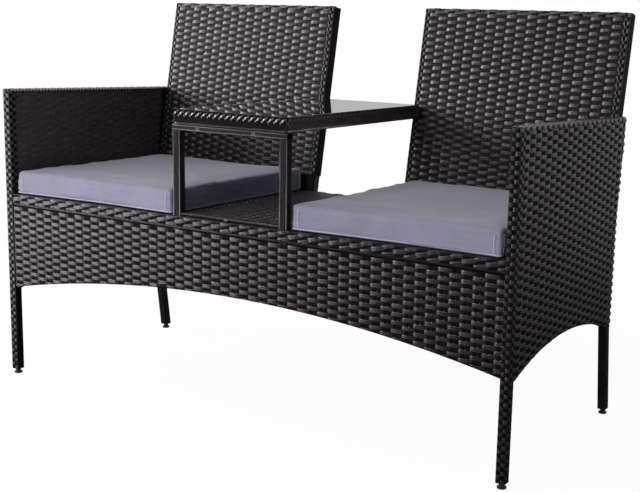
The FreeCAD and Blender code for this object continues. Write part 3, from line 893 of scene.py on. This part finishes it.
# Decks under the cushions and the shelf between the seats: wefts in the paler painted-light finish, stakes in
# the darker stake finish as painted shade
decks = {'right_seat_deck': 'rightSeatDeck', 'left_seat_deck': 'leftSeatDeck',
         'table_shelf_weave': 'shelfDeck'}
deckWeave = {'weftRise': 1.0, 'weftMark': paintedLightMark, 'stakeMark': stakeMark}

for node, name in decks.items():
    low, high = boxMm(node)
    middle = 0.5 * (low[2] + high[2])

    def deckPlace(u, v, h, middle=middle):
        return stack(u, v, middle + h)

    addWeaving(name, node, weave(deckPlace, patch(low[0], high[0], low[1], high[1], deckWeave)))

# Bars at the front of the table, covered with lengthwise strips. half holds the half sizes of the section,
# bright the strips that catch the light, which keep the strand finish while the others are painted shade in a
# darker finish, and knots the places where a bar is tied.
postBar = {'half': (8.0, 8.0), 'corner': 2.5, 'strips': 16, 'bright': (2, 14), 'knots': (), 'upright': True}
lipBar = {'half': (8.2, 2.2), 'corner': 1.6, 'strips': 6, 'bright': (4,), 'knots': (-5.0,), 'upright': False}
rimBar = {'half': (8.2, 5.2), 'corner': 2.0, 'strips': 12, 'bright': (8, 10), 'knots': (-76.0, 61.0),
          'upright': False}
tableBars = {'right_table_post': ('rightTablePostStrips', postBar),
             'left_table_post': ('leftTablePostStrips', postBar),
             'shelf_front_lip': ('shelfLipStrips', lipBar), 'table_front_bar': ('tableBarStrips', rimBar)}


# plain and shiny are the width of a strip, as a share of its place, and its thickness
stripLook = {'plain': (1.05, 2.2), 'shiny': (0.7, 3.4), 'rise': 0.3, 'sway': 0.15, 'swayTurn': 0.045,
             'knotPoints': 28, 'knotPitch': 3.1, 'knotSlant': 0.6, 'knotRise': 0.9, 'knotWidth': 3.0,
             'knotThick': 1.1}


def stripBar(place, around, start, end, look):
    look = dict(stripLook, **look)
    work = Weaving(place)
    strips, count = look['strips'], look['knotPoints']
    v = np.linspace(start, end, 12)
    for strip in range(strips):
        bright = strip in look['bright']
        width, thick = look['shiny' if bright else 'plain']
        lift = look['rise'] + look['sway'] * np.sin(v * look['swayTurn'] + strip)
        work.lay(strip * around / strips, v, lift, around / strips * width, thick, wide='u',
                 mark=strandMark if bright else paintedShadeMark)
    s = (np.arange(count) + 0.5) * around / count
    slant = look['knotSlant'] * np.sin(2.0 * math.pi * s / around)
    for knot in look['knots']:
        for turn in (-1.0, 0.0, 1.0):
            work.lay(s, knot + turn * look['knotPitch'] + slant, look['knotRise'], look['knotWidth'],
                     look['knotThick'], closed=True)
    return work


def makeTableBars():
    for node, (name, look) in tableBars.items():
        low, high = boxMm(node)
        middle = 0.5 * (low + high)
        outline, around = barOutline(*look['half'], look['corner'])

        def place(u, v, h, middle=middle, outline=outline, upright=look['upright']):
            a, b, outA, outB = outline(u)
            a, b = a + outA * h, b + outB * h
            if upright:
                return stack(middle[0] + a, middle[1] + b, v)
            return stack(v, middle[1] + a, middle[2] + b)

        along = 2 if look['upright'] else 0
        addWeaving(name, node, stripBar(place, around, low[along], high[along], look))


# Table rim, on three sides: leaf stitches over short ticks, a hollow, then a rounded edge strand
rimLook = {'inset': 1.4, 'corner': 5.0, 'pitch': 14.6, 'leafAt': 23.0, 'leafSlant': 2.3, 'leafWidth': 4.4,
           'leafThick': 2.4, 'tickWidth': 3.2, 'tickAt': 17.5, 'tickLength': 6.0, 'tickThick': 1.8,
           'edgeAt': 2.0, 'edgeWidth': 1.5, 'edgeThick': 3.0, 'clear': 9.0}


def makeRim():
    look = rimLook
    low, high = boxMm('table_rim_weave')
    left, right, near = low[0] + look['inset'], high[0] - look['inset'], low[1] + look['inset']
    line, length = bentLine([(left, high[1]), (left, near), (right, near), (right, high[1])], look['corner'])

    def place(u, v, h):
        x, y, dx, dy = line(u)
        return stack(x + dy * h, y - dx * h, low[2] + v)

    height = high[2] - low[2]
    centre = 0.5 * length
    front = 0.5 * (high[0] - low[0])
    work = Weaving(place)
    beads = Weaving(place, mark=paintedHighlightMark)
    # Backing strips fill the hollow: the darker stake finish on the front, painted shade, and the paler
    # painted-light finish on the sides
    spans = ((0.5, centre - front, paintedLightMark), (centre - front, centre + front, stakeMark),
             (centre + front, length - 0.5, paintedLightMark))
    for first, last, mark in spans:
        along = np.linspace(first, last, 60)
        for step in range(4):
            work.lay(along, height - (step + 0.5) * height / 4.0, -0.35, height / 4.0, 0.8, mark=mark)
        work.lay(along, height - 1.5, -0.1, 3.0, 1.6, mark=mark)
    reach = np.linspace(-0.5, 0.5, 7)
    arc = np.cos(math.pi * reach)
    pitch = look['pitch']
    for number in range(-int(centre / pitch), int(centre / pitch) + 1):
        middle = centre + number * pitch
        if middle < look['clear'] or middle > length - look['clear']:
            continue
        # the stitches on the front take the paler bead finish, a painted highlight, and stand out further
        # than those on the sides
        braid, leafRise, tickRise = (beads, 1.6, 1.4) if abs(middle - centre) < front else (work, 0.9, 0.7)
        braid.lay(middle + reach * pitch * 0.8, look['leafAt'] + look['leafSlant'] * np.sin(math.pi * reach),
                  -0.4 + leafRise * arc, look['leafWidth'], look['leafThick'])
        braid.lay(middle + pitch * 0.5, look['tickAt'] + reach * look['tickLength'], -0.5 + tickRise * arc,
                  look['tickWidth'], look['tickThick'], wide='u')
    # a rounded edge strand of four rows in the paler bead finish: painted highlight
    u = np.linspace(0.5, length - 0.5, 180)
    for rise, out in ((-0.9, -0.1), (0.0, 0.3), (0.9, -0.1), (1.5, -0.9)):
        beads.lay(u, look['edgeAt'] + rise, out + 0.2 * np.sin(u * 0.09), look['edgeWidth'],
                  look['edgeThick'])
    addWeaving('tableRimBraid', 'table_rim_weave', work, beads)


makeTableBars()
makeRim()
print('table weaving ready')


# Glass top with ground edges and eased corners
glassLook = {'corner': 0.006, 'edge': 0.0011}


def makeGlass():
    low, high = (np.array(corner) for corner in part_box('table_glass'))
    bm = bmesh.new()
    bmesh.ops.create_cube(bm, size=1.0)
    for vert in bm.verts:
        vert.co = [low[k] + (vert.co[k] + 0.5) * (high[k] - low[k]) for k in range(3)]

    def drop(edge):
        return abs(edge.verts[0].co.z - edge.verts[1].co.z)

    upright = [edge for edge in bm.edges if drop(edge) > 0.001]
    bmesh.ops.bevel(bm, geom=upright, offset=glassLook['corner'], segments=8, profile=0.5, affect='EDGES')
    rims = [edge for edge in bm.edges if drop(edge) < 1e-6 and abs(edge.calc_face_angle(0.0)) > 1.0]
    bmesh.ops.bevel(bm, geom=rims, offset=glassLook['edge'], segments=3, profile=0.5, affect='EDGES')
    mesh = bpy.data.meshes.new('tableGlass')
    bm.to_mesh(mesh)
    bm.free()
    for face in mesh.polygons:
        face.use_smooth = face.area < 0.01      # the top and the underside stay flat
    mesh.materials.append(glassMaterial)
    addPiece(placed('tableGlass', mesh), ['table_glass'], body='glass_top')


makeGlass()


# Seat cushions: blown up a little as cloth, then creased, seamed, piped and stitched
# radius, pitch, crown, pull, wider and edgeLines are in millimetres, and seamLine is the number of the
# edge line that the seams follow. The other lengths are in metres.
cushionLook = {'radius': 8.5, 'pitch': 9.0, 'crown': 4.0, 'pull': 5.0, 'wider': 4.0, 'seamLine': 4,
               'edgeLines': (0.0, 1.5, 3.5, 6.0, 9.0, 13.5, 20.0), 'pressure': 4.0, 'frames': 20,
               'cap': 0.0035, 'crease': 0.0030, 'creaseReach': 0.12, 'creaseLeast': 0.15,
               'creaseScales': ((5.0, 22.0, 60.0), (14.0, 50.0, 120.0)), 'groove': 0.0008,
               'piping': 0.0017, 'pipingAt': 0.0040, 'stitch': (0.0040, 0.0020, 0.0007),
               'stitchPitch': 0.0058, 'stitchInset': 0.0135}


def gridLines(size):
    edge = np.array(cushionLook['edgeLines'])
    count = max(int(round((size - 2.0 * edge[-1]) / cushionLook['pitch'])), 1)
    middle = np.linspace(edge[-1], size - edge[-1], count + 1)
    return np.concatenate([edge[:-1], middle, (size - edge[:-1])[::-1]])


# A box with rounded edges on a grid, crowned and pulled in.
# Gives the object, the grid place of each vertex and the last place on each axis.
def cushionStart(side):
    look = cushionLook
    low, high = boxMm(side + '_cushion')
    low[0] -= look['wider']
    high[0] += look['wider']
    size = high - low - (0.0, 0.0, look['crown'])
    lines = [gridLines(length) for length in size]
    last = [len(line) - 1 for line in lines]
    names, points, quads = {}, [], []

    def vertex(*spot):
        if spot not in names:
            names[spot] = len(points)
            points.append([line[index] for line, index in zip(lines, spot)])
        return names[spot]

    for axis in range(3):
        a, b = [other for other in range(3) if other != axis]
        for end in (0, last[axis]):
            for i in range(last[a]):
                for j in range(last[b]):
                    corners = []
                    for da, db in ((0, 0), (1, 0), (1, 1), (0, 1)):
                        spot = [0, 0, 0]
                        spot[axis], spot[a], spot[b] = end, i + da, j + db
                        corners.append(vertex(*spot))
                    turned = (end > 0) == (axis != 1)
                    quads.append(corners if turned else corners[::-1])
    points = np.array(points)
    radius = look['radius']
    inner = np.clip(points, radius, size - radius)
    away = points - inner
    points = inner + radius * away / np.linalg.norm(away, axis=1, keepdims=True)
    share = points / size * 2.0 - 1.0
    dome = (1.0 - share[:, 0] ** 2) * (1.0 - share[:, 1] ** 2)
    points[:, 2] += look['crown'] * (share[:, 2] * 0.5 + 0.5) * dome
    for axis in range(2):
        points[:, axis] -= look['pull'] * share[:, axis] ** 5 * (1.0 - share[:, 1 - axis] ** 2)
    mesh = bpy.data.meshes.new(side + 'Cushion')
    mesh.from_pydata(((points + low) * 0.001).tolist(), [], quads)
    return placed(side + 'Cushion', mesh), np.array(list(names)), np.array(last)


def applied(made):
    graph = bpy.context.evaluated_depsgraph_get()
    graph.update()
    mesh = bpy.data.meshes.new_from_object(made.evaluated_get(graph))
    made.modifiers.clear()
    made.data = mesh
    return mesh


def coordinates(mesh):
    values = np.empty(len(mesh.vertices) * 3, np.float32)
    mesh.vertices.foreach_get('co', values)
    return values.reshape(-1, 3).astype(float)


def moveTo(mesh, spots):
    mesh.vertices.foreach_set('co', spots.astype(np.float32).ravel())
    mesh.update()


def pointNormals(mesh):
    normals = np.empty(len(mesh.vertices) * 3, np.float32)
    mesh.vertex_normals.foreach_get('vector', normals)
    return normals.reshape(-1, 3)


def makeCushion(side):
    look = cushionLook
    made, spots, last = cushionStart(side)
    start = coordinates(made.data)
    low, high = (np.array(corner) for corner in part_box(side + '_cushion'))
    cloth = made.modifiers.new('cloth', 'CLOTH')
    cloth.settings.use_pressure = True
    cloth.settings.uniform_pressure_force = look['pressure']
    cloth.settings.effector_weights.gravity = 0.0
    cloth.settings.quality = 5
    scene = bpy.context.scene
    cloth.point_cache.frame_start = 1
    cloth.point_cache.frame_end = look['frames']
    for number in range(1, look['frames'] + 1):
        scene.frame_set(number)
    blown = coordinates(applied(made))
    scene.frame_set(1)
    move = blown - start
    length = np.linalg.norm(move, axis=1, keepdims=True)
    move *= np.minimum(1.0, look['cap'] / np.maximum(length, 1e-9))
    print(side, 'cushion swelled by up to', round(float(length.max()) * 1000.0, 1), 'mm')
    start = start + move
    start[:, 2] = np.maximum(start[:, 2], low[2])     # it lies flat on the deck
    mesh = made.data
    moveTo(mesh, start)
    seamGrooves(mesh, spots, last)
    finer = made.modifiers.new('finer', 'SUBSURF')
    finer.levels = finer.render_levels = 1
    mesh = applied(made)
    crease(mesh, low, high)
    mesh.polygons.foreach_set('use_smooth', np.ones(len(mesh.polygons), bool))
    mesh.materials.clear()
    mesh.materials.append(fabricMaterial)
    addPiece(made, [side + '_cushion'], body=side + '_cushion')
    makeSeams(side, mesh, low, high)


# Soft grooves under the top edge and beside the corners, where the cover is sewn
def seamGrooves(mesh, spots, last):
    line = cushionLook['seamLine']
    onSide = ((spots[:, :2] == 0) | (spots[:, :2] == last[:2])).any(axis=1)
    seam = onSide & (spots[:, 2] == last[2] - 3)
    for axis in range(2):
        beside = (spots[:, axis] == line) | (spots[:, axis] == last[axis] - line)
        face = (spots[:, 1 - axis] == 0) | (spots[:, 1 - axis] == last[1 - axis])
        seam |= beside & face & (spots[:, 2] > 2) & (spots[:, 2] < last[2] - 3)
    moveTo(mesh, coordinates(mesh) - cushionLook['groove'] * seam[:, None] * pointNormals(mesh))


# Shallow pulls in the cover, strongest near the edges
def crease(mesh, low, high):
    look = cushionLook
    spots = coordinates(mesh)
    reach = np.minimum(spots[:, :2] - low[:2], high[:2] - spots[:, :2]).min(axis=1)
    share = np.clip(1.0 - reach / look['creaseReach'], look['creaseLeast'], 1.0)
    coarse, fine = look['creaseScales']
    pulls = np.array([noise.noise(spot * coarse) + 0.5 * noise.noise(spot * fine) for spot in spots])
    lift = np.where(spots[:, 2] > low[2] + 0.004, look['crease'] * share * pulls, 0.0)
    moveTo(mesh, spots + pointNormals(mesh) * lift[:, None])


# A round tube along points, as (points, quads)
def tube(path, radius, closed):
    path = np.array(path)
    ahead = np.roll(path, -1, axis=0) - np.roll(path, 1, axis=0)
    if not closed:
        ahead[0] = path[1] - path[0]
        ahead[-1] = path[-1] - path[-2]
    ahead /= np.linalg.norm(ahead, axis=1, keepdims=True)
    spare = np.where(np.abs(ahead[:, 2:3]) > 0.9, (1.0, 0.0, 0.0), (0.0, 0.0, 1.0))
    first = np.cross(ahead, spare)
    first /= np.linalg.norm(first, axis=1, keepdims=True)
    second = np.cross(ahead, first)
    angle = np.arange(8) * math.pi / 4.0
    cosine, sine = np.cos(angle)[None, :, None], np.sin(angle)[None, :, None]
    ring = first[:, None, :] * cosine + second[:, None, :] * sine
    points = (path[:, None, :] + radius * ring).reshape(-1, 3)
    turns = len(path) if closed else len(path) - 1
    i = np.arange(turns)[:, None] * 8
    j = np.arange(8)[None, :]
    after = (np.arange(turns)[:, None] + 1) % len(path) * 8
    quads = np.stack([i + j, after + j, after + (j + 1) % 8, i + (j + 1) % 8], axis=2).reshape(-1, 4).tolist()
    if not closed:
        quads += [list(range(8)), list(range((len(path) - 1) * 8 + 7, (len(path) - 1) * 8 - 1, -1))]
    return points.tolist(), quads


# Piping round the foot of the cushion, corner seams and rows of stitches beside them
def makeSeams(side, mesh, low, high):
    look = cushionLook
    tree = BVHTree.FromPolygons([v.co for v in mesh.vertices], [p.vertices for p in mesh.polygons])
    middle = 0.5 * (low + high)
    half = 0.5 * (high - low)
    points, faces, marks = [], [], []

    def add(part, mark):
        start = len(points)
        points.extend(part[0])
        faces.extend([[index + start for index in face] for face in part[1]])
        marks.extend([mark] * len(part[1]))

    def hit(x, y, z, direction):
        spot, normal, face, distance = tree.ray_cast((x, y, z), direction)
        return None if spot is None else (np.array(spot), np.array(normal))

    def around(angle, z, off):
        far = np.array([math.cos(angle), math.sin(angle)]) * 0.6
        found = hit(middle[0] + far[0], middle[1] + far[1], z, (-far[0], -far[1], 0.0))
        return found[0] + found[1] * off

    angles = np.linspace(0.0, 2.0 * math.pi, 361)[:-1]
    warp = np.arctan2(np.sin(angles) * half[1], np.cos(angles) * half[0])
    hem = np.array([around(a, low[2] + 0.012, -0.0008) for a in warp])
    hem[:, 2] = low[2] + look['pipingAt']
    # the piping takes the paler welt fabric: painted highlight
    add(tube(hem, look['piping'], True), 0)
    length, wide, thick = look['stitch']
    beside = half[:2] - look['stitchInset']
    for sx in (-1.0, 1.0):
        for sy in (-1.0, 1.0):
            for z in np.arange(low[2] + 0.010, high[2] - 0.012, look['stitchPitch']):
                runs = ((middle[0] + sx * beside[0], middle[1] + sy * 0.5, (0.0, -sy, 0.0)),
                        (middle[0] + sx * 0.5, middle[1] + sy * beside[1], (-sx, 0.0, 0.0)))
                for x, y, direction in runs:
                    ends = [hit(x, y, z + share * length, direction) for share in (-0.5, -0.3, 0.0, 0.3, 0.5)]
                    if None in ends:
                        continue
                    lifts = (-0.0002, 0.8 * thick, thick, 0.8 * thick, -0.0002)
                    path = [spot + normal * lift for (spot, normal), lift in zip(ends, lifts)]
                    add(tube(path, 0.5 * wide, False), 1)
    seams = bpy.data.meshes.new(side + 'CushionSeams')
    seams.from_pydata(points, [], faces)
    seams.polygons.foreach_set('use_smooth', np.ones(len(seams.polygons), bool))
    seams.materials.append(weltHighlightMaterial)
    seams.materials.append(threadMaterial)
    seams.polygons.foreach_set('material_index', np.array(marks, np.int32))
    addPiece(placed(side + 'CushionSeams', seams), [], body=side + '_cushion')


for side in sides:
    makeCushion(side)
print('cushions ready')

# CAD pieces that stay: give each its finish
finishes = {'black_frame': coatMaterial, 'plated_steel': zincMaterial, 'foot_plastic': nylonMaterial,
            'soft_pad': padMaterial, 'wicker': strandMaterials[strandMark],
            'table_glass': glassMaterial, 'cushion_fabric': fabricMaterial}
for part in frame['record']['subparts']:
    solid = frame['nodes'][part['node']]
    solid.data.materials.clear()
    solid.data.materials.append(finishes[part['material_slot']])

# Floor, light and camera: a white room behind, darker in front, so that the weave shows its relief
roomLook = {'size': 14.0, 'sky': 0.62, 'skyRight': 0.25, 'edge': 0.30, 'glossBehind': 0.45, 'glossAbove': 1.0,
            'glossFront': 0.05, 'floorSeen': 0.95, 'floorNear': 0.05, 'floorFar': 0.42}


def makeFloor():
    look = roomLook
    half = look['size'] * 0.5
    mesh = bpy.data.meshes.new('studioFloor')
    corners = [(-half, -half, 0), (half, -half, 0), (half, half, 0), (-half, half, 0)]
    mesh.from_pydata(corners, [], [(0, 1, 2, 3)])
    floor = placed('studioFloor', mesh)
    shop = Shop('studioFloor')
    where = shop.node('ShaderNodeTexCoord', out=3)
    cloud = shop.noise(where, 1.5, 3.0)
    colour = shop.mixed(cloud, rgb(0.84, 0.84, 0.845), rgb(0.88, 0.88, 0.885))
    plain = shop.node('ShaderNodeBsdfPrincipled', {}, {'Base Color': colour, 'Roughness': 0.9,
                                                       'Specular IOR Level': 0.1})
    path = shop.node('ShaderNodeLightPath')
    mirrored = shop.output(path, 3)
    passing = shop.output(path, 6)
    away = shop.node('ShaderNodeVectorMath', {'operation': 'LENGTH'}, {0: where}, out=1)
    # For glossy rays the floor glows instead of being lit, faintly near the bench and more further out: a
    # painted reflection with a painted shadow round the bench
    strength = path + passing + mirrored * shop.between(away, 1.5, 3.0, look['floorNear'], look['floorFar'])
    glow = shop.node('ShaderNodeEmission', {}, {'Color': rgb(1.0, 1.0, 1.0), 'Strength': strength})
    seen = shop.between(away, 1.0, 3.2, look['floorSeen'], 1.0)
    share = (path + passing) * seen + mirrored
    mixed = shop.node('ShaderNodeMixShader', {}, {0: share, 1: plain, 2: glow})
    shop.node('ShaderNodeOutputMaterial', {}, {'Surface': mixed})
    mesh.materials.append(shop.owner)


def makeWorld():
    look = roomLook
    shop = Shop('studio', bpy.data.worlds)
    way = shop.node('ShaderNodeTexCoord')
    parts = shop.node('ShaderNodeSeparateXYZ', {}, {0: way})
    behind = shop.between(shop.output(parts, 1), -look['edge'], look['edge'], 0.0, 1.0)
    height = shop.between(shop.output(parts, 2), 0.05, 0.6, look['glossBehind'], look['glossAbove'])
    mirrored = behind * height + look['glossFront']
    sky = shop.between(shop.output(parts, 0), -0.4, 0.8, look['sky'], look['skyRight'])
    path = shop.node('ShaderNodeLightPath')
    glossy = shop.output(path, 3)
    passing = shop.output(path, 6)
    rest = 1.0 - path - glossy - passing
    strength = path + passing + glossy * mirrored + rest.sum('MAXIMUM', 0.0) * sky
    light = shop.node('ShaderNodeBackground', {}, {'Color': rgb(1.0, 1.0, 1.0), 'Strength': strength})
    shop.node('ShaderNodeOutputWorld', {}, {'Surface': light})
    bpy.context.scene.world = shop.owner


# strength is what the lamp's face shines with, where 1 is white
lampLook = {
    'side': {'place': (-3.55, -0.95, 1.5), 'aim': (0.0, 0.2, 0.6), 'size': (1.7, 2.0), 'strength': 8.0},
    'corner': {'place': (-2.29, -2.36, 1.25), 'aim': (-0.3, 0.1, 0.6), 'size': (0.75, 0.8), 'strength': 7.0},
    'lowLeft': {'place': (-1.42, -1.14, 0.14), 'aim': (-1.1, 0.0, 1.25), 'size': (1.35, 0.34),
                'strength': 7.0},
    'front': {'place': (-0.5, -3.2, 1.9), 'aim': (0.0, 0.2, 0.5), 'size': (0.9, 0.9), 'strength': 3.6},
    'fill': {'place': (-0.3, -3.3, 1.3), 'aim': (0.0, 0.2, 0.4), 'size': (1.4, 1.0), 'strength': 5.4,
             'mirrored': False},
    'edge': {'place': (-1.2, -2.0, 2.9), 'aim': (0.0, 0.0, 0.5), 'size': (0.6, 0.6), 'strength': 12.0},
    'overhead': {'place': (0.2, -0.1, 3.2), 'aim': (0.0, 0.1, 0.3), 'size': (2.4, 2.4), 'strength': 0.25},
}


# A matrix from its three axes and its place
def axesAt(x, y, z, place):
    return Matrix([(x[k], y[k], z[k], place[k]) for k in range(3)] + [(0.0, 0.0, 0.0, 1.0)])


def aimed(made, place, aim):
    direction = np.array(aim, float) - np.array(place, float)
    direction /= np.linalg.norm(direction)
    right = np.cross(direction, (0.0, 0.0, 1.0))
    right /= np.linalg.norm(right)
    up = np.cross(right, direction)
    made.matrix_world = axesAt(right, up, -direction, place)


def makeLamps():
    for name, look in lampLook.items():
        lamp = bpy.data.lights.new(name, 'AREA')
        lamp.shape = 'RECTANGLE'
        lamp.size, lamp.size_y = look['size']
        lamp.energy = look['strength'] * math.pi * lamp.size * lamp.size_y
        made = placed(name, lamp)
        made.visible_camera = False
        made.visible_glossy = look.get('mirrored', True)
        aimed(made, look['place'], look['aim'])


# focal and middle are in pixels of a picture of 640 by 492
cameraLook = {'azimuth': 30.550, 'elevation': 11.294, 'roll': 1.541, 'focal': 1197.53,
              'middle': (380.0, 258.55), 'picture': (640.0, 492.0), 'sensor': 36.0,
              'place': (1.44081, -2.14145, 0.81622)}


def makeCamera():
    look = cameraLook
    az, el, roll = (math.radians(look[key]) for key in ('azimuth', 'elevation', 'roll'))
    forward = np.array([-math.sin(az) * math.cos(el), math.cos(az) * math.cos(el), -math.sin(el)])
    right = np.array([math.cos(az), math.sin(az), 0.0])
    up = np.cross(right, forward)
    x = right * math.cos(roll) + up * math.sin(roll)
    y = -right * math.sin(roll) + up * math.cos(roll)
    data = bpy.data.cameras.new('camera')
    width, height = look['picture']
    data.sensor_width = look['sensor']
    data.lens = look['focal'] / width * look['sensor']
    data.shift_x = (0.5 * width - look['middle'][0]) / width
    data.shift_y = (look['middle'][1] - 0.5 * height) / width
    made = placed('camera', data)
    made.matrix_world = axesAt(x, y, -forward, look['place'])
    bpy.context.scene.camera = made


makeFloor()
makeWorld()
makeLamps()
makeCamera()
bpy.context.scene.view_settings.view_transform = 'Standard'
print('room, lamps and camera ready')
